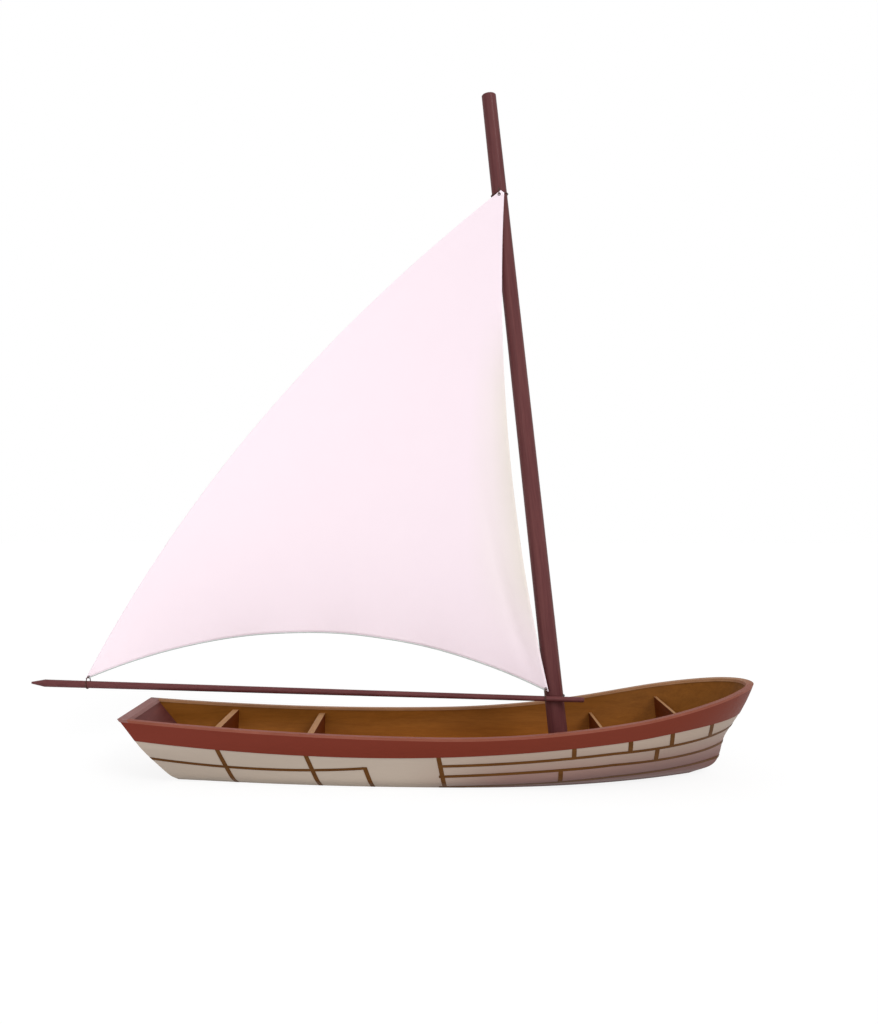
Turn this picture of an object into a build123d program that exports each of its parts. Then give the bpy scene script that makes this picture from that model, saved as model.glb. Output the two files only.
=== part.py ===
from build123d import *
import os
from collections import namedtuple
from math import atan2, cos, pi, radians, sin, sqrt, tan

# Open wooden sailing boat, five metres long: a flat-bottomed planked hull with a raked transom,
# one free-standing mast, a boom lashed beside it and one loose-footed triangular sail.
# Millimetres. +X forward to the bow, +Y to port, +Z up. The origin lies on the flat bottom, on the
# centre line, below the lowest point of the sheer.

# Hull form. Each row is one level line of the planking's outer face, for one side.
Level = namedtuple("Level", "height nose_x nose_radius shoulder_x half_beam run_x run_half_beam")
LEVELS = [
    Level(0, 2030, 60, 250, 500, -1600, 330),
    Level(40, 2154, 70, 450, 560, -1500, 410),
    Level(100, 2236, 85, 800, 605, -1300, 475),
    Level(200, 2270, 110, 1100, 635, -1000, 540),
    Level(400, 2362, 170, 1350, 685, 0, 637),
    Level(600, 2465, 350, 1500, 700, 0, 647),
    Level(780, 2530, 450, 1550, 720, 0, 660),
]
LOFT_STERN_X = -2650

# Sheer, read along the top of the rail, and the lower edge of the sheer strake.
SHEER_LOW = (0, 399)
SHEER_STERN = (-2650, 532)
SHEER_RISE = (1700, 571)
SHEER_STRAIGHT = 610
SHEER_BOW = (2700, 737)
STRAKE_LOW = (-500, 246)
STRAKE_STERN = (-2650, 390)
STRAKE_RISE = (1600, 415)
STRAKE_BOW = (2700, 480)

# Wall build-up.
PLANK = 20
LINING = 24
BOTTOM = 60
STRAKE_PROUD = 5
BATTEN_PROUD = 3
RAIL_THICKNESS = 20
RAIL_OVERHANG = 5
RAIL_LIP = 6
BOARD_GAP = 0.6
BOTTOM_BOARD_WIDTH = 150
BOTTOM_JOINTS_PER_SIDE = 3

# Transom, raked aft.
TRANSOM_FOOT_X = -2040
TRANSOM_RAKE = 38.3
TRANSOM_THICKNESS = 42
TRANSOM_CAP_PROUD = 5

# Seam battens: level ones are narrow, upright ones are wide.
LEVEL_SEAM = 20
UPRIGHT_SEAM = 34
SEAM_FOOT = -60
AFT_SEAM = [(-2450, 245), (-1350, 137), (-560, 162)]
FORWARD_SEAMS = {
    "upper": [(0, 186), (600, 219), (1300, 293), (2600, 408)],
    "middle": [(0, 104), (600, 138), (1300, 200), (2600, 268)],
    "lower": [(0, 3), (600, 32), (1300, 88), (2600, 150)],
}
# Upright seams from the strake to the bottom: x at the strake, x at the bottom.
FRAME_SEAMS = {"quarter": (-1662, -1562), "waist": (-1000, -902), "midship": (-2, 46)}
STEP_SEAM = (-560, -502)
# Butts between two level seams: x, seam above, seam below.
BUTTS = [
    (1005, "strake", "upper"),
    (1423, "strake", "upper"),
    (1746, "strake", "upper"),
    (2084, "strake", "upper"),
    (1634, "upper", "middle"),
    (909, "middle", "lower"),
]

# Bulkheads: name, x of the middle, thickness, height of the top edge.
BULKHEADS = [
    ("bulkhead_stern", -1730, 50, 408),
    ("bulkhead_waist", -1000, 50, 368),
    ("bulkhead_mast", 1310, 22, 352),
    ("bulkhead_bow", 1860, 22, 503),
]

# Mast: the axis leans aft from its foot.
MAST_RAKE = 6.2
MAST_AXIS_X = 993
MAST_FOOT_Z = 85
MAST_LENGTH = 5408
# Distance from the foot and radius there.
MAST_TAPER = [(0, 78), (1150, 74.5), (3000, 68), (4600, 61.5), (5394, 58)]
# Rounded top: share of the top's radius, and distance below the mast's end.
MAST_CROWN = [(0.86, 4.9), (0.5, 0)]
STEP_SIZE = (330, 230, 130)
STEP_CHAMFER = 12

# Boom: turns about the mast's axis, and lies beside the mast on the starboard side.
BOOM_Z = 604
BOOM_SWING = 10
BOOM_FORWARD = 245
BOOM_AFT = 4526
BOOM_HEEL_RADIUS = 20.5
BOOM_END_RADIUS = 32
BOOM_TIP_LENGTH = 125
BOOM_TIP_RADIUS = 9
BOOM_HEEL_CHAMFER = 6.2
RING_STOCK = 10
RING_CLEARANCE = 1
RING_SEAT = 0.3
SHANK_DEPTH = 18
COLLAR_HEIGHT = 16
COLLAR_WIDTH = 8

# Sail: it lies on a wide upright cylinder, so that it bellies to port. Places on it are given as
# distance aft of the luff's line and height along the mast's axis.
SAIL_THICKNESS = 3
SAIL_CHORD = 4050
SAIL_BELLY = 240
HEAD_FORE = (-49, 4650)
HEAD_AFT = (-25, 4677)
LEECH_MIDDLE = (2183, 3194)
CLEW = (4001, 1078)
FOOT_MIDDLE = (2024, 1283)
TACK = (29, 664)
LUFF_MIDDLE = (136, 2215)
CRINGLE = 14
CRINGLE_INSET = 34
ROPE = 8
HEAD_LINK_RISE = 25
ROPE_CLEARANCE = 0.3

# How far the cutting shapes run past the hull: out to a side, forward, above and below it.
REACH = 1400
REACH_FORWARD = 4000
TOP = 1100
UNDER = -120


def polar(centre, radius, angle):
    return (centre[0] + radius * cos(angle), centre[1] + radius * sin(angle))


def arc_about(centre, radius, start, end):
    """Arc on the starboard side: the level lines are worked out with y positive, then turned over."""
    places = [polar(centre, radius, a) for a in (start, (start + end) / 2, end)]
    return ThreePointArc(*[(x, -y) for x, y in places])


def level_face(level, offset):
    """Half of one level line, closed along the centre line, moved outwards by offset."""
    nose_centre = (level.nose_x - level.nose_radius, 0)
    reach = nose_centre[0] - level.shoulder_x
    shoulder_radius = (reach**2 + level.half_beam**2 - level.nose_radius**2) / (
        2 * (level.half_beam - level.nose_radius)
    )
    shoulder_centre = (level.shoulder_x, level.half_beam - shoulder_radius)
    meet = atan2(-shoulder_centre[1], reach)
    length = level.shoulder_x - level.run_x
    drop = level.half_beam - level.run_half_beam
    run_radius = (length**2 + drop**2) / (2 * drop)
    run_centre = (level.shoulder_x, level.half_beam - run_radius)
    leave = atan2(level.run_half_beam - run_centre[1], level.run_x - run_centre[0])
    run_end = polar(run_centre, run_radius + offset, leave)
    stern_y = run_end[1] - (run_end[0] - LOFT_STERN_X) / tan(pi - leave)
    tip = (level.nose_x + offset, 0)
    edges = [
        arc_about(nose_centre, level.nose_radius + offset, 0, meet),
        arc_about(shoulder_centre, shoulder_radius + offset, meet, pi / 2),
        arc_about(run_centre, run_radius + offset, pi / 2, leave),
        Polyline((run_end[0], -run_end[1]), (LOFT_STERN_X, -stern_y), (LOFT_STERN_X, 0), tip),
    ]
    return Pos(0, 0, level.height) * make_face(edges)


def half_form(offset):
    """Starboard half of the hull's form, moved outwards by offset."""
    return Solid.make_loft([level_face(level, offset).wire() for level in LEVELS])


def side_cut(outline):
    """Everything on the starboard side that lies behind an outline drawn in side view."""
    return extrude(Plane.XZ * outline, amount=REACH)


def sheer_edges(lower):
    low = (SHEER_LOW[0], SHEER_LOW[1] - lower)
    rise = (SHEER_RISE[0], SHEER_RISE[1] - lower)
    aft = TangentArc(low, (SHEER_STERN[0], SHEER_STERN[1] - lower), tangent=(-1, 0))
    forward = TangentArc(low, rise, tangent=(1, 0))
    along = forward % 1
    straight_end = Vector(*rise) + along * SHEER_STRAIGHT
    straight = Line(rise, straight_end)
    bow = TangentArc(straight_end, (SHEER_BOW[0], SHEER_BOW[1] - lower), tangent=along)
    return [aft, forward, straight, bow], aft @ 1, bow @ 1


def strake_edges():
    aft = TangentArc(STRAKE_LOW, STRAKE_STERN, tangent=(-1, 0))
    forward = TangentArc(STRAKE_LOW, STRAKE_RISE, tangent=(1, 0))
    bow = TangentArc(STRAKE_RISE, STRAKE_BOW, tangent=forward % 1)
    return [aft, forward, bow], aft @ 1, bow @ 1


def below(edges, stern, bow):
    closing = Polyline(bow, (bow.X, UNDER), (stern.X, UNDER), stern)
    return side_cut(make_face(edges + [closing]))


def transom_x(z, forward):
    return TRANSOM_FOOT_X - z * tan(radians(TRANSOM_RAKE)) + forward / cos(radians(TRANSOM_RAKE))


def ahead_of_transom(forward):
    """The starboard side from a plane parallel to the transom's outer face, forwards."""
    corners = [(transom_x(UNDER, forward), UNDER), (transom_x(TOP, forward), TOP)]
    corners += [(REACH_FORWARD, TOP), (REACH_FORWARD, UNDER)]
    return side_cut(make_face(Polyline(*corners, close=True)))


def seam_height(points, x):
    """Height of a forward seam at x: it bends up to its third point, then runs straight."""
    (x0, z0), (x1, z1), (x2, z2), (x3, z3) = points
    if x > x2:
        return z2 + (z3 - z2) * (x - x2) / (x3 - x2)
    share = (x - x0) / (x2 - x0)
    sag = (z0 + (z2 - z0) * (x1 - x0) / (x2 - x0) - z1) / (4 * (x1 - x0) * (x2 - x1) / (x2 - x0) ** 2)
    return z0 + (z2 - z0) * share - 4 * sag * share * (1 - share)


def level_strip(points):
    """A level seam's strip in side view, through three or four points."""
    half = LEVEL_SEAM / 2
    edges = []
    for side in (half, -half):
        moved = [(x, z + side) for x, z in points]
        edges.append(ThreePointArc(*moved[:3]))
        if len(moved) > 3:
            edges.append(Line(*moved[2:]))
    start, end = points[0], points[-1]
    edges.append(Line((start[0], start[1] - half), (start[0], start[1] + half)))
    edges.append(Line((end[0], end[1] - half), (end[0], end[1] + half)))
    return make_face(edges)


def upright_strip(top, foot):
    half = UPRIGHT_SEAM / 2
    corners = [(top[0] - half, top[1]), (top[0] + half, top[1])]
    corners += [(foot[0] + half, foot[1]), (foot[0] - half, foot[1])]
    return make_face(Polyline(*corners, close=True))


def seam_network():
    """All seam battens of one side, as strips in side view."""
    strips = [level_strip(AFT_SEAM)]
    strips += [level_strip(points) for points in FORWARD_SEAMS.values()]
    for top_x, foot_x in FRAME_SEAMS.values():
        lean = (foot_x - top_x) / STRAKE_LOW[1]
        strips.append(upright_strip((top_x - lean * STRAKE_LOW[1], 2 * STRAKE_LOW[1]),
                                    (foot_x - lean * SEAM_FOOT, SEAM_FOOT)))
    end = AFT_SEAM[-1]
    lean = (STEP_SEAM[1] - STEP_SEAM[0]) / end[1]
    strips.append(upright_strip((STEP_SEAM[0], end[1] + LEVEL_SEAM / 2),
                                (STEP_SEAM[1] - lean * SEAM_FOOT, SEAM_FOOT)))
    for x, above, under in BUTTS:
        top = STRAKE_RISE[1] + STRAKE_LOW[1] if above == "strake" else seam_height(FORWARD_SEAMS[above], x)
        strips.append(upright_strip((x, top), (x, seam_height(FORWARD_SEAMS[under], x))))
    return strips


def mirrored(shape):
    return mirror(shape, about=Plane.XZ)


def whole(half):
    """Both halves of a piece that crosses the centre line, as one solid."""
    return half + mirrored(half)


def slab(x_low, x_high, z_low, z_high):
    return Pos((x_low + x_high) / 2, -REACH / 2, (z_low + z_high) / 2) * Box(
        x_high - x_low, REACH, z_high - z_low)


def solids_between(shape, x_low, x_high):
    """The solids whose middle lies between two places along the boat."""
    return [s for s in shape.solids() if x_low <= s.center().X < x_high]


def hull_pieces():
    outer = half_form(0)
    strake_outer = half_form(STRAKE_PROUD)
    batten_outer = half_form(BATTEN_PROUD)
    plank_inner = half_form(-PLANK)
    lining_inner = half_form(-PLANK - LINING)
    rail_outer = half_form(RAIL_OVERHANG)
    rail_inner = half_form(-PLANK - LINING - RAIL_LIP)

    under_rail_top = below(*sheer_edges(0))
    under_rail = below(*sheer_edges(RAIL_THICKNESS))
    under_strake = below(*strake_edges())
    ahead = ahead_of_transom(0)
    inside = ahead_of_transom(TRANSOM_THICKNESS)

    skin = (outer - plank_inner) & under_strake & ahead
    blades = sum((side_cut(strip) for strip in seam_network()), Part())
    planks = skin - blades
    battens = (batten_outer - plank_inner) & under_strake & ahead & blades
    strake = ((strake_outer - plank_inner) & under_rail & ahead) - under_strake
    lining = ((plank_inner - lining_inner) & under_rail & inside) - slab(
        LOFT_STERN_X, -LOFT_STERN_X, UNDER, BOTTOM)
    transom = (plank_inner & under_rail & ahead) - inside

    band = under_rail_top - under_rail
    cap_edge = ahead_of_transom(TRANSOM_THICKNESS + RAIL_LIP)
    cap = (rail_outer & band & ahead_of_transom(-TRANSOM_CAP_PROUD)) - cap_edge
    rail = ((rail_outer - rail_inner) & band) & cap_edge

    bottom = (plank_inner & inside) & slab(LOFT_STERN_X, -LOFT_STERN_X, 0, BOTTOM)
    for joint in range(BOTTOM_JOINTS_PER_SIDE):
        place = -(joint + 0.5) * BOTTOM_BOARD_WIDTH
        bottom = bottom - Pos(0, place, BOTTOM / 2) * Box(4 * REACH, BOARD_GAP, 2 * BOTTOM)

    quarter_x = sum(FRAME_SEAMS["quarter"]) / 2
    waist_x = sum(FRAME_SEAMS["waist"]) / 2
    midship_x = sum(FRAME_SEAMS["midship"]) / 2
    groups = {
        "quarter_planks": (LOFT_STERN_X, quarter_x),
        "waist_planks": (quarter_x, waist_x),
        "midship_planks": (waist_x, midship_x),
        "bow_strakes": (midship_x, -LOFT_STERN_X),
    }
    sides = {name: Compound(solids_between(planks, *span)) for name, span in groups.items()}
    sides["seam_battens"] = battens
    sides["sheer_strake"] = strake
    sides["lining"] = lining
    sides["rail"] = rail
    pieces = {}
    for name, shape in sides.items():
        pieces[name + "_starboard"] = shape
        pieces[name + "_port"] = mirrored(shape)
    pieces["bottom_boards"] = whole(bottom)
    pieces["transom"] = whole(transom)
    pieces["transom_cap"] = whole(cap)
    hold = lining_inner & inside
    for name, x, thickness, top in BULKHEADS:
        board = hold & slab(x - thickness / 2, x + thickness / 2, BOTTOM, top)
        pieces[name] = whole(board)
    return pieces


rake = radians(MAST_RAKE)
swing = radians(BOOM_SWING)
MAST_UP = Vector(-sin(rake), 0, cos(rake))
MAST_FOOT = Vector(MAST_AXIS_X - MAST_FOOT_Z * tan(rake), 0, MAST_FOOT_Z)
BOOM_WAY = Vector(-cos(swing), sin(swing), 0)
SAIL_AFT = (BOOM_WAY - MAST_UP * BOOM_WAY.dot(MAST_UP)).normalized()
SAIL_PORT = SAIL_AFT.cross(MAST_UP)


def mast_radius(distance):
    for (d0, r0), (d1, r1) in zip(MAST_TAPER, MAST_TAPER[1:]):
        if distance <= d1:
            return r0 + (r1 - r0) * (distance - d0) / (d1 - d0)
    return MAST_TAPER[-1][1]


def mast_frame(distance, x_dir=(1, 0, 0)):
    """Plane square to the mast's axis at a distance from its foot."""
    return Plane(origin=MAST_FOOT + MAST_UP * distance, x_dir=Vector(*x_dir) - MAST_UP *
                 Vector(*x_dir).dot(MAST_UP), z_dir=MAST_UP)


def axis_distance(z):
    """Distance along the mast's axis, from its foot to a height."""
    return (z - MAST_FOOT_Z) / cos(rake)


def mast_solid():
    top_radius = MAST_TAPER[-1][1]
    side = [(radius, distance) for distance, radius in MAST_TAPER]
    crown = [(top_radius * share, MAST_LENGTH - fall) for share, fall in MAST_CROWN]
    outline = make_face(Polyline((0, 0), *side, *crown, (0, MAST_LENGTH), close=True))
    return mast_frame(0).location * revolve(Plane.XZ * outline, Axis.Z)


def mast_step(mast):
    length, width, height = STEP_SIZE
    block = Pos(MAST_FOOT.X, 0, BOTTOM + height / 2) * Box(length, width, height)
    block = chamfer(block.faces().sort_by(Axis.Z)[-1].edges(), STEP_CHAMFER)
    return block - mast


RING_DISTANCE = axis_distance(BOOM_Z)
RING_INNER = mast_radius(RING_DISTANCE) + RING_CLEARANCE
BOOM_LENGTH = BOOM_FORWARD + BOOM_AFT


def boom_radius(distance):
    """Radius at a distance aft of the mast's axis."""
    share = (distance + BOOM_FORWARD) / (BOOM_LENGTH - BOOM_TIP_LENGTH)
    return BOOM_HEEL_RADIUS + (BOOM_END_RADIUS - BOOM_HEEL_RADIUS) * share


BOOM_OFFSET = RING_INNER + RING_STOCK + RING_SEAT + boom_radius(0)
BOOM_MIDDLE = MAST_FOOT + MAST_UP * RING_DISTANCE - SAIL_PORT * BOOM_OFFSET


def boom_ring():
    frame = mast_frame(RING_DISTANCE)
    ring = Torus(RING_INNER + RING_STOCK / 2, RING_STOCK / 2)
    shank_start = MAST_FOOT + MAST_UP * RING_DISTANCE - SAIL_PORT * (RING_INNER + RING_STOCK / 2)
    reach = RING_STOCK / 2 + RING_SEAT + SHANK_DEPTH
    shank = Plane(origin=shank_start, z_dir=-SAIL_PORT).location * Cylinder(
        RING_STOCK / 2, reach, align=(Align.CENTER, Align.CENTER, Align.MIN))
    return frame.location * ring + shank


def mast_collar(mast):
    top = RING_DISTANCE - RING_STOCK / 2 - RING_SEAT
    frame = mast_frame(top - COLLAR_HEIGHT)
    band = Cylinder(mast_radius(top) + COLLAR_WIDTH, COLLAR_HEIGHT,
                    align=(Align.CENTER, Align.CENTER, Align.MIN))
    return frame.location * band - mast


def boom_solid(ring):
    outline = make_face(Polyline(
        (0, -BOOM_FORWARD),
        (BOOM_HEEL_RADIUS - BOOM_HEEL_CHAMFER, -BOOM_FORWARD),
        (BOOM_HEEL_RADIUS, -BOOM_FORWARD + BOOM_HEEL_CHAMFER),
        (BOOM_END_RADIUS, BOOM_AFT - BOOM_TIP_LENGTH),
        (BOOM_TIP_RADIUS, BOOM_AFT),
        (0, BOOM_AFT),
        close=True,
    ))
    spar = revolve(Plane.XZ * outline, Axis.Z)
    placed = Plane(origin=BOOM_MIDDLE, x_dir=(0, 0, 1), z_dir=BOOM_WAY).location * spar
    return placed - ring


LUFF_LINE = Vector(MAST_AXIS_X, 0, 0) - SAIL_PORT * BOOM_OFFSET
SAIL_FRAME = Plane(origin=LUFF_LINE, x_dir=SAIL_AFT, z_dir=SAIL_PORT)
SAIL_RADIUS = (SAIL_CHORD**2 / 4 + SAIL_BELLY**2) / (2 * SAIL_BELLY)


def belly(aft):
    """How far the sail stands to port of its chord."""
    return SAIL_BELLY - SAIL_RADIUS + sqrt(SAIL_RADIUS**2 - (aft - SAIL_CHORD / 2) ** 2)


def toward(corner, first, second, distance):
    """A place inset from a corner along the line that halves its angle."""
    ways = [(Vector(*p) - Vector(*corner)).normalized() for p in (first, second)]
    place = Vector(*corner) + (ways[0] + ways[1]).normalized() * distance
    return (place.X, place.Y)


HEAD_CRINGLE = toward(HEAD_AFT, LEECH_MIDDLE, LUFF_MIDDLE, CRINGLE_INSET)
CLEW_CRINGLE = toward(CLEW, LEECH_MIDDLE, FOOT_MIDDLE, CRINGLE_INSET)
TACK_CRINGLE = toward(TACK, LUFF_MIDDLE, FOOT_MIDDLE, CRINGLE_INSET)


def sail_solid():
    outline = make_face([
        Line(HEAD_FORE, HEAD_AFT),
        ThreePointArc(HEAD_AFT, LEECH_MIDDLE, CLEW),
        ThreePointArc(CLEW, FOOT_MIDDLE, TACK),
        ThreePointArc(TACK, LUFF_MIDDLE, HEAD_FORE),
    ])
    for place in (HEAD_CRINGLE, CLEW_CRINGLE, TACK_CRINGLE):
        outline = outline - Pos(*place) * Circle(CRINGLE / 2)
    depth = SAIL_BELLY * 2
    prism = Pos(0, 0, -SAIL_BELLY / 2) * extrude(outline, amount=depth)
    centre = Pos(SAIL_CHORD / 2, HEAD_AFT[1] / 2, SAIL_BELLY - SAIL_RADIUS) * Rot(90, 0, 0)
    skin = Cylinder(SAIL_RADIUS + SAIL_THICKNESS / 2, 2 * HEAD_AFT[1]) - Cylinder(
        SAIL_RADIUS - SAIL_THICKNESS / 2, 2 * HEAD_AFT[1])
    return SAIL_FRAME.location * (prism & (centre * skin))


def boom_strop(cringle):
    """Rope loop round the boom and through a cringle above it."""
    place = SAIL_FRAME.from_local_coords((*cringle, belly(cringle[0])))
    along = (place - BOOM_MIDDLE).dot(BOOM_WAY)
    centre = BOOM_MIDDLE + BOOM_WAY * along
    up = (place - centre).normalized()
    radius = boom_radius(along) + ROPE_CLEARANCE + ROPE / 2
    rise = (place - centre).length - radius
    frame = Plane(origin=centre, x_dir=up.cross(BOOM_WAY), z_dir=BOOM_WAY)
    flip = 1 if frame.y_dir.dot(up) > 0 else -1
    path = Wire([
        ThreePointArc((-radius, 0), (0, -radius * flip), (radius, 0)),
        Line((radius, 0), (radius, rise * flip)),
        ThreePointArc((radius, rise * flip), (0, (rise + radius) * flip), (-radius, rise * flip)),
        Line((-radius, rise * flip), (-radius, 0)),
    ])
    section = Plane(origin=path @ 0, z_dir=path % 0) * Circle(ROPE / 2)
    return frame.location * sweep(section, path=path)


def head_strop():
    """Rope ring round the mast, with a link through the head's cringle."""
    aft, height = HEAD_CRINGLE
    distance = height - (MAST_FOOT - Vector(MAST_AXIS_X, 0, 0)).dot(MAST_UP)
    ring_radius = mast_radius(distance) + RING_CLEARANCE + ROPE / 2
    ring = mast_frame(distance + HEAD_LINK_RISE).location * Torus(ring_radius, ROPE / 2)
    outward = BOOM_OFFSET - belly(aft) - sqrt(ring_radius**2 - aft**2)
    link_radius = (outward**2 + HEAD_LINK_RISE**2) / (2 * outward)
    middle = belly(aft) + outward - link_radius
    centre = SAIL_FRAME.from_local_coords((aft, height + HEAD_LINK_RISE, middle))
    link = Plane(origin=centre, x_dir=SAIL_PORT, z_dir=SAIL_AFT).location * Torus(link_radius, ROPE / 2)
    return ring + link


def build():
    pieces = hull_pieces()
    mast = mast_solid()
    ring = boom_ring()
    pieces["mast"] = mast
    pieces["mast_step"] = mast_step(mast)
    pieces["mast_collar"] = mast_collar(mast)
    pieces["boom_ring"] = ring
    pieces["boom"] = boom_solid(ring)
    pieces["sail"] = sail_solid()
    pieces["head_strop"] = head_strop()
    pieces["clew_strop"] = boom_strop(CLEW_CRINGLE)
    pieces["tack_strop"] = boom_strop(TACK_CRINGLE)
    return pieces


def main():
    os.makedirs("parts", exist_ok=True)
    for name, shape in build().items():
        export_step(shape, f"parts/{name}.step")


main()
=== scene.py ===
import math

import bmesh
import bpy
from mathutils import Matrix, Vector


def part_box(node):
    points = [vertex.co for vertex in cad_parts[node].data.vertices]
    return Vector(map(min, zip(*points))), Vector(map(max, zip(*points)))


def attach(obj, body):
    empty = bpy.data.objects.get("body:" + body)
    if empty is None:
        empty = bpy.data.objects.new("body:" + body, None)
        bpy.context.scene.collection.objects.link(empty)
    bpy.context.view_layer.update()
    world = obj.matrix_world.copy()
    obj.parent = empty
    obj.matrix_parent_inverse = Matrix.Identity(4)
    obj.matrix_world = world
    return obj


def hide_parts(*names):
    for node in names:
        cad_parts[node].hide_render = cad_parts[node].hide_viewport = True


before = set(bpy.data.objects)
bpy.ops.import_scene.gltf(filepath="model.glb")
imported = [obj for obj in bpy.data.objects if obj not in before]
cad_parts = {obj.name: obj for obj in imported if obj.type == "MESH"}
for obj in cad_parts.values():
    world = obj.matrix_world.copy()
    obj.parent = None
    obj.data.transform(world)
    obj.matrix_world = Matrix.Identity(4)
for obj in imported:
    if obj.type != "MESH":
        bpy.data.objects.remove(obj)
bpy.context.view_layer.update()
scene = bpy.context.scene
scene.view_settings.view_transform = "Standard"

# Camera: it looks level and square at the boat's starboard side, from a little over eight metres
# off and two metres up, so that the bow lies to the right.
photo_height = 1024
photo_focal_length = 1040
camera_distance = 8.387
camera_height = 2.090
sensor = 36.0
camera_data = bpy.data.cameras.new("camera")
camera_data.sensor_width = sensor
camera_data.sensor_fit = "AUTO"
camera_data.lens = sensor * photo_focal_length / photo_height
camera_data.clip_end = 200
camera = bpy.data.objects.new("camera", camera_data)
camera.location = (0, -camera_distance, camera_height)
camera.rotation_euler = (math.radians(90), 0, 0)
scene.collection.objects.link(camera)
scene.camera = camera

# Studio: a pale floor and an even white surround, with a soft shadow under the boat. One broad light
# comes from above and from the camera's right, and a weaker one from its left.
floor_size = 120
floor_drop = 0.001
floor_grey = 0.88
floor_glow = 1.07
floor_glow_share = 0.8
surround_light = 0.66
surround_seen = 1


def new_material(name):
    material = bpy.data.materials.new(name)
    material.use_nodes = True
    nodes = material.node_tree.nodes
    return material, nodes, material.node_tree.links, nodes["Principled BSDF"]


def seen_directly(nodes, links):
    """One where the camera, a mirror or glass shows a surface, nought where it only lights others."""
    rays = nodes.new("ShaderNodeLightPath")
    found = rays.outputs["Is Camera Ray"]
    for other in ("Is Glossy Ray", "Is Transmission Ray"):
        either = nodes.new("ShaderNodeMath")
        either.operation = "MAXIMUM"
        links.new(found, either.inputs[0])
        links.new(rays.outputs[other], either.inputs[1])
        found = either.outputs[0]
    return found


floor_mesh = bpy.data.meshes.new("floor")
shape = bmesh.new()
bmesh.ops.create_grid(shape, x_segments=1, y_segments=1, size=floor_size / 2)
bmesh.ops.translate(shape, verts=shape.verts, vec=(0, 0, -floor_drop))
shape.to_mesh(floor_mesh)
shape.free()
floor = bpy.data.objects.new("floor", floor_mesh)
scene.collection.objects.link(floor)
floor_material, nodes, links, shader = new_material("floor")
shader.inputs["Base Color"].default_value = (floor_grey, floor_grey, floor_grey, 1)
shader.inputs["Roughness"].default_value = 1
shader.inputs["Specular IOR Level"].default_value = 0
glow = nodes.new("ShaderNodeEmission")
glow.inputs["Color"].default_value = (1, 1, 1, 1)
glow.inputs["Strength"].default_value = floor_glow
share = nodes.new("ShaderNodeMath")
share.operation = "MULTIPLY"
share.inputs[1].default_value = floor_glow_share
blend = nodes.new("ShaderNodeMixShader")
links.new(seen_directly(nodes, links), share.inputs[0])
links.new(share.outputs[0], blend.inputs[0])
links.new(shader.outputs[0], blend.inputs[1])
links.new(glow.outputs[0], blend.inputs[2])
links.new(blend.outputs[0], nodes["Material Output"].inputs["Surface"])
floor_mesh.materials.append(floor_material)

world = bpy.data.worlds.new("studio")
scene.world = world
world.use_nodes = True
nodes, links = world.node_tree.nodes, world.node_tree.links
surround = nodes["Background"]
backdrop = nodes.new("ShaderNodeBackground")
for background, strength in ((surround, surround_light), (backdrop, surround_seen)):
    background.inputs["Color"].default_value = (1, 1, 1, 1)
    background.inputs["Strength"].default_value = strength
blend = nodes.new("ShaderNodeMixShader")
links.new(seen_directly(nodes, links), blend.inputs[0])
links.new(surround.outputs[0], blend.inputs[1])
links.new(backdrop.outputs[0], blend.inputs[2])
links.new(blend.outputs[0], nodes["World Output"].inputs["Surface"])

for name, strength, spread, towards in [
    ("key", 1.15, 25, (-0.55, 0.75, -0.62)),
    ("fill", 0.55, 40, (0.35, 0.85, -0.30)),
]:
    lamp_data = bpy.data.lights.new(name, "SUN")
    lamp_data.energy = strength
    lamp_data.angle = math.radians(spread)
    lamp = bpy.data.objects.new(name, lamp_data)
    lamp.rotation_euler = Vector(towards).to_track_quat("-Z", "Y").to_euler()
    scene.collection.objects.link(lamp)


# Planking: carvel planks bent round the hull and painted off-white outside. The paint is brushed on
# along the planks. Painted shade makes it duller and warmer low down on the bow, where the planks turn
# under, and aft it is coloured a little lighter low down, a painted light against the shade there.
paint_variation = 0.10
stroke_stretch = (3, 45, 90)
stroke_height = 0.0012
bow_shade_climb = 0.08
bow_shade_low, bow_shade_high = -0.05, 0.25
plain_shade_high = 0.30
bow_starts, bow_full = -0.4, 0.6


def srgb(red, green, blue):
    """A colour read off as 0 to 255, as the shader wants it."""
    channels = [c / 255 for c in (red, green, blue)]
    return tuple(c / 12.92 if c < 0.04045 else ((c + 0.055) / 1.055) ** 2.4 for c in channels) + (1,)


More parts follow.
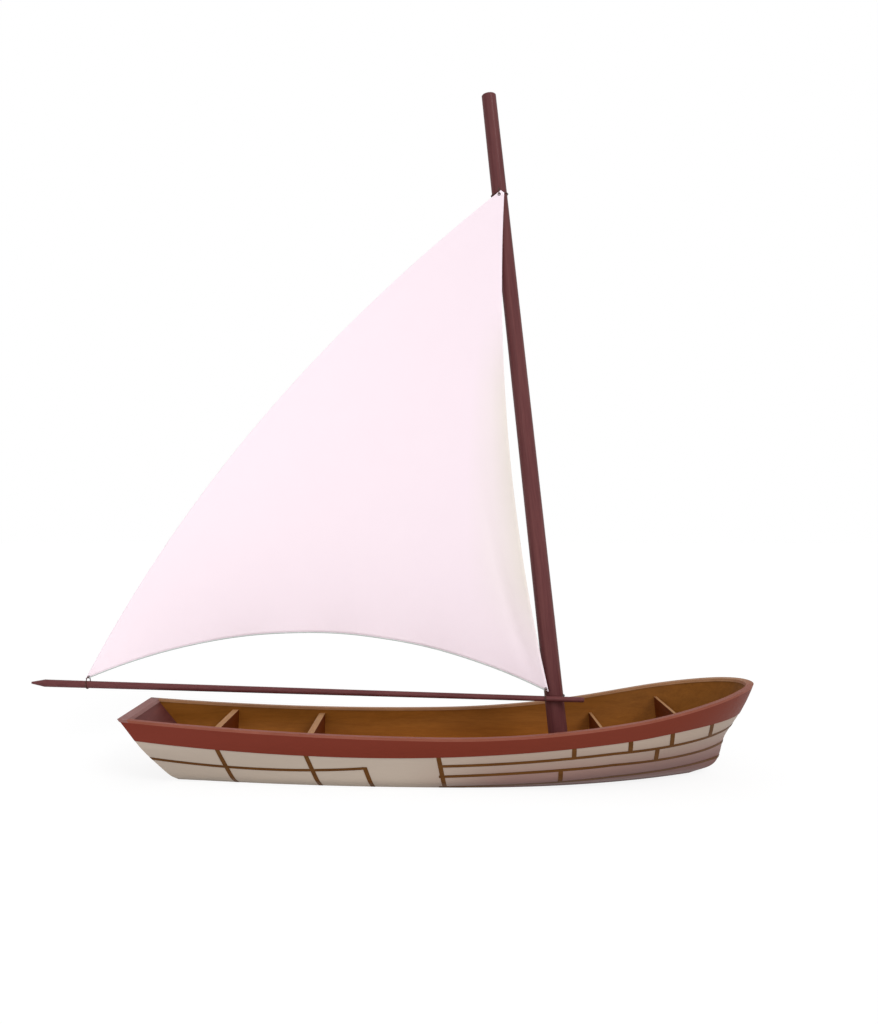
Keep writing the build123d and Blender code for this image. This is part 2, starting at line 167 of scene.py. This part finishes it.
def paint_group():
    """Brushed paint: strokes drawn out along the boat, with a little fading."""
    group = bpy.data.node_groups.new("brushed paint", "ShaderNodeTree")
    face = group.interface
    face.new_socket("Vector", in_out="INPUT", socket_type="NodeSocketVector")
    face.new_socket("Color", in_out="INPUT", socket_type="NodeSocketColor")
    face.new_socket("Variation", in_out="INPUT", socket_type="NodeSocketFloat")
    face.new_socket("Color", in_out="OUTPUT", socket_type="NodeSocketColor")
    face.new_socket("Height", in_out="OUTPUT", socket_type="NodeSocketFloat")
    face.new_socket("Roughness", in_out="OUTPUT", socket_type="NodeSocketFloat")
    nodes, links = group.nodes, group.links
    given = nodes.new("NodeGroupInput")
    result = nodes.new("NodeGroupOutput")
    stretch = nodes.new("ShaderNodeMapping")
    stretch.inputs["Scale"].default_value = stroke_stretch
    strokes = nodes.new("ShaderNodeTexNoise")
    strokes.inputs["Scale"].default_value = 1
    strokes.inputs["Detail"].default_value = 4
    patches = nodes.new("ShaderNodeTexNoise")
    patches.inputs["Scale"].default_value = 2.2
    patches.inputs["Detail"].default_value = 3
    both = nodes.new("ShaderNodeMix")
    both.inputs["Factor"].default_value = 0.5
    centred = nodes.new("ShaderNodeMath")
    centred.operation = "SUBTRACT"
    centred.inputs[1].default_value = 0.5
    scaled = nodes.new("ShaderNodeMath")
    scaled.operation = "MULTIPLY"
    value = nodes.new("ShaderNodeMath")
    value.inputs[1].default_value = 1
    tint = nodes.new("ShaderNodeHueSaturation")
    gloss = nodes.new("ShaderNodeMapRange")
    gloss.inputs["To Min"].default_value = 0.42
    gloss.inputs["To Max"].default_value = 0.62
    links.new(given.outputs["Vector"], stretch.inputs["Vector"])
    links.new(stretch.outputs[0], strokes.inputs["Vector"])
    links.new(given.outputs["Vector"], patches.inputs["Vector"])
    links.new(strokes.outputs[0], both.inputs["A"])
    links.new(patches.outputs[0], both.inputs["B"])
    links.new(both.outputs["Result"], centred.inputs[0])
    links.new(centred.outputs[0], scaled.inputs[0])
    links.new(given.outputs["Variation"], scaled.inputs[1])
    links.new(scaled.outputs[0], value.inputs[0])
    links.new(value.outputs[0], tint.inputs["Value"])
    links.new(given.outputs["Color"], tint.inputs["Color"])
    links.new(strokes.outputs[0], gloss.inputs["Value"])
    links.new(tint.outputs[0], result.inputs["Color"])
    links.new(strokes.outputs[0], result.inputs["Height"])
    links.new(gloss.outputs[0], result.inputs["Roughness"])
    return group


brushed_paint = paint_group()


def ramp_on(nodes, links, source, low, high, colours):
    """Colours blended along a value between low and high."""
    spread = nodes.new("ShaderNodeMapRange")
    spread.inputs["From Min"].default_value = low
    spread.inputs["From Max"].default_value = high
    ramp = nodes.new("ShaderNodeValToRGB")
    ramp.color_ramp.elements.remove(ramp.color_ramp.elements[1])
    ramp.color_ramp.elements[0].position = colours[0][0]
    ramp.color_ramp.elements[0].color = colours[0][1]
    for place, colour in colours[1:]:
        ramp.color_ramp.elements.new(place).color = colour
    links.new(source, spread.inputs["Value"])
    links.new(spread.outputs[0], ramp.inputs["Fac"])
    return ramp.outputs["Color"]


def raise_surface(nodes, links, shader, height, distance, strength=1.0):
    bump = nodes.new("ShaderNodeBump")
    bump.inputs["Distance"].default_value = distance
    bump.inputs["Strength"].default_value = strength
    links.new(height, bump.inputs["Height"])
    links.new(bump.outputs[0], shader.inputs["Normal"])


def painted(name, colour_of, variation):
    """A brushed paint whose colour comes from a function of the nodes and the place on the boat."""
    material, nodes, links, shader = new_material(name)
    place = nodes.new("ShaderNodeTexCoord")
    axes = nodes.new("ShaderNodeSeparateXYZ")
    links.new(place.outputs["Object"], axes.inputs[0])
    paint = nodes.new("ShaderNodeGroup")
    paint.node_tree = brushed_paint
    paint.inputs["Variation"].default_value = variation
    links.new(place.outputs["Object"], paint.inputs["Vector"])
    links.new(colour_of(nodes, links, axes), paint.inputs["Color"])
    links.new(paint.outputs["Color"], shader.inputs["Base Color"])
    links.new(paint.outputs["Roughness"], shader.inputs["Roughness"])
    shader.inputs["Specular IOR Level"].default_value = 0.1
    raise_surface(nodes, links, shader, paint.outputs["Height"], stroke_height, 0.5)
    return material


def white_hull(nodes, links, axes):
    """Off-white, with painted shade that makes the bow darker and warmer the lower it lies, and a
    little painted light low down aft to offset shade.
    """
    rise = nodes.new("ShaderNodeMath")
    rise.operation = "MULTIPLY_ADD"
    rise.inputs[1].default_value = -bow_shade_climb
    links.new(axes.outputs["X"], rise.inputs[0])
    links.new(axes.outputs["Z"], rise.inputs[2])
    # Painted shade: the bow's paint darkens and warms the lower it lies, where the planks turn under.
    bow = ramp_on(nodes, links, rise.outputs[0], bow_shade_low, bow_shade_high, [
        (0.0, srgb(120, 86, 80)), (0.17, srgb(126, 98, 93)), (0.40, srgb(141, 113, 105)),
        (0.60, srgb(151, 129, 118)), (1.0, srgb(165, 148, 134))])
    # Painted light: aft, the paint is a little lighter low down to offset the shade that falls there.
    plain = ramp_on(nodes, links, axes.outputs["Z"], 0.0, plain_shade_high, [
        (0.0, srgb(179, 165, 151)), (1.0, srgb(172, 158, 145))])
    along = nodes.new("ShaderNodeMapRange")
    along.interpolation_type = "SMOOTHSTEP"
    along.inputs["From Min"].default_value = bow_starts
    along.inputs["From Max"].default_value = bow_full
    links.new(axes.outputs["X"], along.inputs["Value"])
    both = nodes.new("ShaderNodeMix")
    both.data_type = "RGBA"
    links.new(along.outputs[0], both.inputs["Factor"])
    links.new(plain, both.inputs["A"])
    links.new(bow, both.inputs["B"])
    return both.outputs["Result"]


def paint_nodes(material, *names):
    for name in names:
        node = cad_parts[name]
        node.data.materials.clear()
        node.data.materials.append(material)


sides = ("starboard", "port")
white_paint = painted("white hull paint", white_hull, paint_variation)
for side in sides:
    paint_nodes(white_paint, *[f"{part}_{side}" for part in
                               ("quarter_planks", "waist_planks", "midship_planks", "bow_strakes")])


# Sheer strake: one deep plank under the rail on each side, painted dark red and a little proud of
# the planks below it.
strake_variation = 0.14
strake_reach = 2.5


def red_strake(nodes, links, axes):
    return ramp_on(nodes, links, axes.outputs["X"], -strake_reach, strake_reach, [
        (0.0, srgb(110, 45, 33)), (0.5, srgb(108, 43, 29)), (1.0, srgb(109, 49, 35))])


red_paint = painted("red strake paint", red_strake, strake_variation)
for side in sides:
    paint_nodes(red_paint, f"sheer_strake_{side}")


# Seam battens: strips of dark brown oiled wood that fill the joints between the planks, bent along
# them on each side, and stand a little proud of the paint.
along_boat = (1.2, 14, 14)
grain_height = 0.0008
grain_strength = 0.6


def grain_group():
    """Wood grain drawn out along one axis: fine fibres and wider growth bands."""
    group = bpy.data.node_groups.new("wood grain", "ShaderNodeTree")
    face = group.interface
    face.new_socket("Vector", in_out="INPUT", socket_type="NodeSocketVector")
    face.new_socket("Light", in_out="INPUT", socket_type="NodeSocketColor")
    face.new_socket("Dark", in_out="INPUT", socket_type="NodeSocketColor")
    face.new_socket("Color", in_out="OUTPUT", socket_type="NodeSocketColor")
    face.new_socket("Height", in_out="OUTPUT", socket_type="NodeSocketFloat")
    nodes, links = group.nodes, group.links
    given = nodes.new("NodeGroupInput")
    result = nodes.new("NodeGroupOutput")
    fibres = nodes.new("ShaderNodeTexNoise")
    fibres.inputs["Scale"].default_value = 9
    fibres.inputs["Detail"].default_value = 6
    bands = nodes.new("ShaderNodeTexNoise")
    bands.inputs["Scale"].default_value = 1.6
    bands.inputs["Detail"].default_value = 2
    bands.inputs["Distortion"].default_value = 0.6
    both = nodes.new("ShaderNodeMix")
    both.inputs["Factor"].default_value = 0.55
    contrast = nodes.new("ShaderNodeMapRange")
    contrast.inputs["From Min"].default_value = 0.32
    contrast.inputs["From Max"].default_value = 0.68
    colours = nodes.new("ShaderNodeMix")
    colours.data_type = "RGBA"
    links.new(given.outputs["Vector"], fibres.inputs["Vector"])
    links.new(given.outputs["Vector"], bands.inputs["Vector"])
    links.new(fibres.outputs[0], both.inputs["A"])
    links.new(bands.outputs[0], both.inputs["B"])
    links.new(both.outputs["Result"], contrast.inputs["Value"])
    links.new(contrast.outputs[0], colours.inputs["Factor"])
    links.new(given.outputs["Dark"], colours.inputs["A"])
    links.new(given.outputs["Light"], colours.inputs["B"])
    links.new(colours.outputs["Result"], result.inputs["Color"])
    links.new(both.outputs["Result"], result.inputs["Height"])
    return group


wood_grain = grain_group()


def wooden(name, light, dark, stretch, roughness=0.55, shine=0.1, tilt=0.0, coat=0.0):
    """Bare or varnished wood, its grain drawn out along the boat, across it or along a leaning spar.
    Light and dark are colours, or functions that give one from the place on the boat."""
    material, nodes, links, shader = new_material(name)
    place = nodes.new("ShaderNodeTexCoord")
    turn = nodes.new("ShaderNodeMapping")
    turn.inputs["Rotation"].default_value = (0, tilt, 0)
    drawn = nodes.new("ShaderNodeMapping")
    drawn.inputs["Scale"].default_value = stretch
    grain = nodes.new("ShaderNodeGroup")
    grain.node_tree = wood_grain
    links.new(place.outputs["Object"], turn.inputs["Vector"])
    links.new(turn.outputs[0], drawn.inputs["Vector"])
    links.new(drawn.outputs[0], grain.inputs["Vector"])
    axes = nodes.new("ShaderNodeSeparateXYZ")
    links.new(place.outputs["Object"], axes.inputs[0])
    for socket, colour in (("Light", light), ("Dark", dark)):
        if callable(colour):
            links.new(colour(nodes, links, axes), grain.inputs[socket])
        else:
            grain.inputs[socket].default_value = colour
    links.new(grain.outputs["Color"], shader.inputs["Base Color"])
    shader.inputs["Roughness"].default_value = roughness
    shader.inputs["Specular IOR Level"].default_value = shine
    shader.inputs["Coat Weight"].default_value = coat
    raise_surface(nodes, links, shader, grain.outputs["Height"], grain_height, grain_strength)
    return material


batten_wood = wooden("batten wood", srgb(98, 62, 26), srgb(80, 47, 15), along_boat)
for side in sides:
    paint_nodes(batten_wood, f"seam_battens_{side}")


# Inside of the hull: oiled boards fastened inside the planks, darker under the rail and more orange
# low down, a painted shade cast by the rail. The flat bottom boards and the block that the mast steps
# into are of the same wood.
lining_low, lining_high = 0.1, 0.5


# The lining's colours carry painted shade: darker towards the rail, lighter and more orange low down.
def lining_light(nodes, links, axes):
    return ramp_on(nodes, links, axes.outputs["Z"], lining_low, lining_high, [
        (0.0, srgb(154, 92, 28)), (0.5, srgb(136, 82, 25)), (1.0, srgb(128, 78, 26))])


def lining_dark(nodes, links, axes):
    return ramp_on(nodes, links, axes.outputs["Z"], lining_low, lining_high, [
        (0.0, srgb(136, 77, 19)), (0.5, srgb(118, 68, 15)), (1.0, srgb(111, 66, 18))])


lining_wood = wooden("lining wood", lining_light, lining_dark, along_boat)
for side in sides:
    paint_nodes(lining_wood, f"lining_{side}")
bottom_wood = wooden("bottom wood", srgb(152, 92, 30), srgb(128, 74, 20), along_boat, roughness=0.65)
paint_nodes(bottom_wood, "bottom_boards", "mast_step")


# Bulkheads: four boards set across the hull from side to side, darker than the lining. The top edge
# of each is coloured paler.
across_boat = (14, 1.2, 14)
pale_from, pale_full = 0.003, 0.001


def pale_along_top(top, face_colour, edge_colour):
    """A face colour that turns into a paler one just under a height."""
    def colour(nodes, links, axes):
        return ramp_on(nodes, links, axes.outputs["Z"], top - pale_from, top - pale_full, [
            (0.0, face_colour), (1.0, edge_colour)])
    return colour


for name in ("bulkhead_stern", "bulkhead_waist", "bulkhead_mast", "bulkhead_bow"):
    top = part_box(name)[1][2]
    light = pale_along_top(top, srgb(100, 42, 6), srgb(172, 128, 88))
    dark = pale_along_top(top, srgb(86, 34, 2), srgb(154, 110, 72))
    bulkhead_wood = wooden(name.replace("_", " ") + " wood", light, dark, across_boat,
                           roughness=0.6, shine=0.08)
    paint_nodes(bulkhead_wood, name)


# Rail: a flat wooden capping laid along the top edges of strake and lining on each side, worn pale.
# The starboard rail is coloured redder than the port one.
rail_change = 0.20


def rail_colour(starboard, port):
    def colour(nodes, links, axes):
        return ramp_on(nodes, links, axes.outputs["Y"], -rail_change, rail_change, [
            (0.0, starboard), (1.0, port)])
    return colour


rail_wood = wooden("rail wood", rail_colour(srgb(141, 82, 67), srgb(162, 118, 84)),
                   rail_colour(srgb(128, 70, 54), srgb(144, 102, 70)), along_boat)
for side in sides:
    paint_nodes(rail_wood, f"rail_{side}")


# Transom: one raked board across the stern, greyed to a dull mauve-brown, with a paler wooden
# capping of its own laid along its top edge.
across_stern = (10, 1.4, 10)
transom_wood = wooden("transom wood", srgb(104, 55, 50), srgb(88, 44, 41), across_stern)
paint_nodes(transom_wood, "transom")
transom_cap_wood = wooden("transom cap wood", srgb(142, 103, 98), srgb(126, 88, 83), across_stern)
paint_nodes(transom_cap_wood, "transom_cap")


# Mast and boom: round spars of dark red wood, shaved to a taper and varnished thin, with the grain
# along each. The mast leans aft, and a wooden collar on it carries the boom's ring.
mast_lean = math.radians(6.2)
along_mast = (16, 16, 0.7)
along_boom = (0.7, 16, 16)
mast_wood = wooden("mast wood", srgb(105, 60, 59), srgb(84, 43, 45), along_mast,
                   tilt=mast_lean, roughness=0.45, coat=0.04)
paint_nodes(mast_wood, "mast", "mast_collar")
boom_wood = wooden("boom wood", srgb(108, 61, 61), srgb(87, 45, 46), along_boom,
                   roughness=0.45, coat=0.04)
paint_nodes(boom_wood, "boom")


# Boom ring: black forged iron, dented by the hammer, loose round the mast and driven into the boom
# by its shank.
dent_depth = 0.0008
iron, nodes, links, shader = new_material("forged iron")
shader.inputs["Metallic"].default_value = 0.85
shader.inputs["Base Color"].default_value = srgb(52, 46, 46)
place = nodes.new("ShaderNodeTexCoord")
dents = nodes.new("ShaderNodeTexNoise")
dents.inputs["Scale"].default_value = 120
links.new(place.outputs["Object"], dents.inputs["Vector"])
wear = nodes.new("ShaderNodeMapRange")
wear.inputs["To Min"].default_value = 0.4
wear.inputs["To Max"].default_value = 0.7
links.new(dents.outputs[0], wear.inputs["Value"])
links.new(wear.outputs[0], shader.inputs["Roughness"])
raise_surface(nodes, links, shader, dents.outputs[0], dent_depth)
paint_nodes(iron, "boom_ring")


# Strops: short loops of tarred rope, laid up from strands and closed on themselves. Each makes one
# corner of the sail fast to the mast or the boom.
strop_lay = (0.7, 0.7, 0.5)
strop_relief = 0.002
rope, nodes, links, shader = new_material("tarred rope")
place = nodes.new("ShaderNodeTexCoord")
lay = nodes.new("ShaderNodeMapping")
lay.inputs["Rotation"].default_value = strop_lay
strands = nodes.new("ShaderNodeTexWave")
strands.inputs["Scale"].default_value = 60
strands.inputs["Distortion"].default_value = 1.5
links.new(place.outputs["Object"], lay.inputs["Vector"])
links.new(lay.outputs[0], strands.inputs["Vector"])
links.new(ramp_on(nodes, links, strands.outputs["Fac"], 0, 1, [
    (0.0, srgb(66, 44, 38)), (1.0, srgb(104, 74, 64))]), shader.inputs["Base Color"])
shader.inputs["Roughness"].default_value = 0.9
shader.inputs["Specular IOR Level"].default_value = 0.2
raise_surface(nodes, links, shader, strands.outputs["Fac"], strop_relief)
paint_nodes(rope, "head_strop", "clew_strop", "tack_strop")


# Sail: one three-cornered sheet of thin pale pink cloth, cut in one piece and set loose-footed, so
# that only its corners are made fast. It lies on a wide upright cylinder beside the mast, with a
# little slack at the tack and along its edges.
boom_rest_angle = math.radians(10)
mast_axis_x = 0.993
mast_foot_height = 0.085
mast_foot_radius = 0.078
mast_lower_radius = 0.0745
mast_lower_length = 1.150
boom_height = 0.604
boom_radius_at_ring = 0.0211
ring_clearance = 0.001
ring_stock = 0.010
ring_seat = 0.0003
sail_chord = 4.050
sail_belly = 0.240
sail_radius = (sail_chord**2 / 4 + sail_belly**2) / (2 * sail_belly)
cloth_thickness = 0.0015
cloth_steps = 160

# Corners and the middle of each edge: distance aft of the luff's line, and height along the mast.
head_fore = Vector((-0.049, 4.650))
head_aft = Vector((-0.025, 4.677))
leech_middle = Vector((2.183, 3.194))
clew = Vector((4.001, 1.078))
foot_middle = Vector((2.024, 1.283))
tack = Vector((0.029, 0.664))
luff_middle = Vector((0.136, 2.215))

# Slack: heights are metres off the cylinder, the rest goes by shares of the cloth's width and height.
fold_height, fold_width = 0.010, 0.02
fold_start, fold_lean = 0.03, 0.20
fold_rise, fold_fade = 12, 2.2
foot_wave_height, foot_wave_radians, foot_wave_fade = 0.008, 31, 18
luff_wave_height, luff_wave_radians, luff_wave_fade = 0.006, 24, 14

mast_up = Vector((-math.sin(mast_lean), 0, math.cos(mast_lean)))
boom_way = Vector((-math.cos(boom_rest_angle), math.sin(boom_rest_angle), 0))
sail_aft = (boom_way - mast_up * boom_way.dot(mast_up)).normalized()
sail_port = sail_aft.cross(mast_up)
ring_distance = (boom_height - mast_foot_height) / math.cos(mast_lean)
mast_taper = (mast_lower_radius - mast_foot_radius) / mast_lower_length
mast_radius_at_ring = mast_foot_radius + mast_taper * ring_distance
boom_offset = mast_radius_at_ring + ring_clearance + ring_stock + ring_seat + boom_radius_at_ring
luff_line = Vector((mast_axis_x, 0, 0)) - sail_port * boom_offset


def arc_through(start, middle, end):
    """A function from 0 to 1 along the arc through three places."""
    a, b, c = start, middle, end
    twice_area = 2 * (a.x * (b.y - c.y) + b.x * (c.y - a.y) + c.x * (a.y - b.y))
    squares = (a.length_squared, b.length_squared, c.length_squared)
    rises = (b.y - c.y, c.y - a.y, a.y - b.y)
    runs = (c.x - b.x, a.x - c.x, b.x - a.x)
    centre = Vector((
        sum(square * rise for square, rise in zip(squares, rises)) / twice_area,
        sum(square * run for square, run in zip(squares, runs)) / twice_area,
    ))
    radius = (a - centre).length
    first = math.atan2(a.y - centre.y, a.x - centre.x)
    turn = math.atan2(c.y - centre.y, c.x - centre.x) - first
    turn = (turn + math.pi) % math.tau - math.pi
    return lambda t: centre + radius * Vector((math.cos(first + turn * t), math.sin(first + turn * t)))


luff = arc_through(tack, luff_middle, head_fore)
leech = arc_through(clew, leech_middle, head_aft)
foot = arc_through(tack, foot_middle, clew)


def on_sail(across, up):
    """A place on the flat cloth: across runs from luff to leech, up from foot to head."""
    head = head_fore.lerp(head_aft, across)
    between_edges = luff(up) * (1 - across) + leech(up) * across
    between_ends = foot(across) * (1 - up) + head * up
    between_corners = tack.lerp(clew, across) * (1 - up) + head * up
    return between_edges + between_ends - between_corners


def belly_at(aft):
    """How far the cloth stands to port of its chord."""
    return sail_belly - sail_radius + math.sqrt(sail_radius**2 - (aft - sail_chord / 2) ** 2)


def in_boat(flat, lift=0.0):
    """A place on the cloth, with lift to port of it."""
    return luff_line + sail_aft * flat.x + mast_up * flat.y + sail_port * (belly_at(flat.x) + lift)


def slack(across, up):
    """A soft fold that runs up from the tack, and small waves along the foot and the luff."""
    fold_line = fold_start + fold_lean * up
    fold = fold_height * math.exp(-((across - fold_line) / fold_width) ** 2)
    fold *= max(0, 1 - up * fold_fade) * min(1, up * fold_rise)
    foot_waves = foot_wave_height * math.sin(across * foot_wave_radians)
    foot_waves *= math.exp(-up * foot_wave_fade) * math.sin(math.pi * across)
    luff_waves = luff_wave_height * math.sin(up * luff_wave_radians)
    luff_waves *= math.exp(-across * luff_wave_fade) * math.sin(math.pi * up)
    return fold + foot_waves + luff_waves


sail_mesh = bpy.data.meshes.new("sail_cloth")
shape = bmesh.new()
uv_map = shape.loops.layers.uv.new("cloth")
bmesh.ops.create_grid(shape, x_segments=cloth_steps, y_segments=cloth_steps, size=0.5)
bmesh.ops.translate(shape, verts=shape.verts, vec=(0.5, 0.5, 0))
for face in shape.faces:
    face.smooth = True
    for loop in face.loops:
        loop[uv_map].uv = loop.vert.co.xy
for vert in shape.verts:
    across, up = vert.co.x, vert.co.y
    vert.co = in_boat(on_sail(across, up), slack(across, up))
flat_area = sum(face.calc_area() for face in shape.faces)
bmesh.ops.recalc_face_normals(shape, faces=shape.faces)
shape.to_mesh(sail_mesh)
shape.free()
sail_cloth = bpy.data.objects.new("sail_cloth", sail_mesh)
scene.collection.objects.link(sail_cloth)
thickness = sail_cloth.modifiers.new("cloth thickness", "SOLIDIFY")
thickness.thickness = cloth_thickness
thickness.offset = 0

# Sailcloth: plain woven and pale pink, with painted shade along the luff below the head: a warm grey
# band where the bellied cloth turns away from the light, fading out towards the head and the foot.
plain_pink = srgb(252, 236, 244)
luff_shade_width = 0.16
luff_shade_top, luff_shade_full = 0.80, 0.55
luff_shade_foot = 0.25
thread_scale = 260
thread_height = 0.0003


def fade_between(nodes, links, source, none_at, full_at):
    """A mask that rises smoothly from nought at one value to one at another."""
    fade = nodes.new("ShaderNodeMapRange")
    fade.interpolation_type = "SMOOTHSTEP"
    fade.inputs["From Min"].default_value = none_at
    fade.inputs["From Max"].default_value = full_at
    links.new(source, fade.inputs["Value"])
    return fade.outputs[0]


cloth, nodes, links, shader = new_material("sailcloth")
uv = nodes.new("ShaderNodeUVMap")
uv.uv_map = "cloth"
place = nodes.new("ShaderNodeTexCoord")
axes = nodes.new("ShaderNodeSeparateXYZ")
links.new(uv.outputs[0], axes.inputs[0])
# Painted shade along the luff, a warm grey that fades out towards the head and the foot.
luff_painted_shade = ramp_on(nodes, links, axes.outputs["X"], 0.0, luff_shade_width, [
    (0.0, srgb(236, 227, 219)), (0.45, srgb(247, 234, 236)), (1.0, plain_pink)])
luff_shade_mask = nodes.new("ShaderNodeMath")
luff_shade_mask.operation = "MULTIPLY"
links.new(fade_between(nodes, links, axes.outputs["Y"], luff_shade_top, luff_shade_full), luff_shade_mask.inputs[0])
links.new(fade_between(nodes, links, axes.outputs["Y"], 0.0, luff_shade_foot), luff_shade_mask.inputs[1])
tone = nodes.new("ShaderNodeMix")
tone.data_type = "RGBA"
tone.inputs["A"].default_value = plain_pink
links.new(luff_shade_mask.outputs[0], tone.inputs["Factor"])
links.new(luff_painted_shade, tone.inputs["B"])
clouding = nodes.new("ShaderNodeTexNoise")
clouding.inputs["Scale"].default_value = 3.5
clouding.inputs["Detail"].default_value = 3
links.new(place.outputs["Object"], clouding.inputs["Vector"])
mottle = nodes.new("ShaderNodeMapRange")
mottle.inputs["To Min"].default_value = 0.985
mottle.inputs["To Max"].default_value = 1.0
links.new(clouding.outputs[0], mottle.inputs["Value"])
tint = nodes.new("ShaderNodeHueSaturation")
links.new(mottle.outputs[0], tint.inputs["Value"])
links.new(tone.outputs["Result"], tint.inputs["Color"])
links.new(tint.outputs[0], shader.inputs["Base Color"])
shader.inputs["Roughness"].default_value = 0.85
shader.inputs["Specular IOR Level"].default_value = 0.2
woven = nodes.new("ShaderNodeMath")
for socket, direction in enumerate(("Z", "X")):
    threads = nodes.new("ShaderNodeTexWave")
    threads.inputs["Scale"].default_value = thread_scale
    threads.bands_direction = direction
    links.new(place.outputs["Object"], threads.inputs["Vector"])
    links.new(threads.outputs["Fac"], woven.inputs[socket])
raise_surface(nodes, links, shader, woven.outputs[0], thread_height, 0.4)
sail_mesh.materials.append(cloth)
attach(sail_cloth, "boom")
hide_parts("sail")


# Foot rope: thin laid rope, grey-green with age, sewn along the sail's lower edge from corner to
# corner. It follows the small waves of the cloth.
rope_radius = 0.0045
rope_steps = 120
rope_end_gap = 0.008
rope_relief = 0.001


def tube(name, points, radius, closed, material):
    """A round tube along a line of places."""
    curve = bpy.data.curves.new(name, "CURVE")
    curve.dimensions = "3D"
    curve.bevel_depth = radius
    curve.bevel_resolution = 3
    curve.use_fill_caps = not closed
    spline = curve.splines.new("POLY")
    spline.points.add(len(points) - 1)
    spline.use_cyclic_u = closed
    for knot, point in zip(spline.points, points):
        knot.co = (*point, 1)
    drawn = bpy.data.objects.new(name, curve)
    scene.collection.objects.link(drawn)
    mesh = bpy.data.meshes.new_from_object(drawn.evaluated_get(bpy.context.evaluated_depsgraph_get()))
    bpy.data.objects.remove(drawn)
    mesh.name = name
    for polygon in mesh.polygons:
        polygon.use_smooth = True
    mesh.materials.clear()
    mesh.materials.append(material)
    made = bpy.data.objects.new(name, mesh)
    scene.collection.objects.link(made)
    return made


foot_rope_finish, nodes, links, shader = new_material("foot rope")
place = nodes.new("ShaderNodeTexCoord")
strands = nodes.new("ShaderNodeTexWave")
strands.inputs["Scale"].default_value = 70
links.new(place.outputs["Object"], strands.inputs["Vector"])
links.new(ramp_on(nodes, links, strands.outputs["Fac"], 0, 1, [
    (0.0, srgb(176, 187, 182)), (1.0, srgb(214, 222, 218))]), shader.inputs["Base Color"])
shader.inputs["Roughness"].default_value = 0.9
raise_surface(nodes, links, shader, strands.outputs["Fac"], rope_relief)
rope_line = []
for step in range(rope_steps + 1):
    across = rope_end_gap + (1 - 2 * rope_end_gap) * step / rope_steps
    rope_line.append(in_boat(on_sail(across, 0.0), slack(across, 0.0)))
foot_rope = tube("foot_rope", rope_line, rope_radius, False, foot_rope_finish)
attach(foot_rope, "boom")


# Cringles: small rings of the same iron as the boom's, one worked into each corner of the sail for
# its strop to pass through.
cringle_inset = 0.034
cringle_radius = 0.010
cringle_stock = 0.0028
cringle_steps = 24
for name, corner, first, second in (
    ("head_cringle", head_aft, leech_middle, luff_middle),
    ("clew_cringle", clew, leech_middle, foot_middle),
    ("tack_cringle", tack, luff_middle, foot_middle),
):
    inward = ((first - corner).normalized() + (second - corner).normalized()).normalized()
    middle = corner + inward * cringle_inset
    turns = [math.tau * step / cringle_steps for step in range(cringle_steps)]
    ring_line = [in_boat(middle + cringle_radius * Vector((math.cos(a), math.sin(a)))) for a in turns]
    cringle = tube(name, ring_line, cringle_stock, True, iron)
    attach(cringle, "boom")
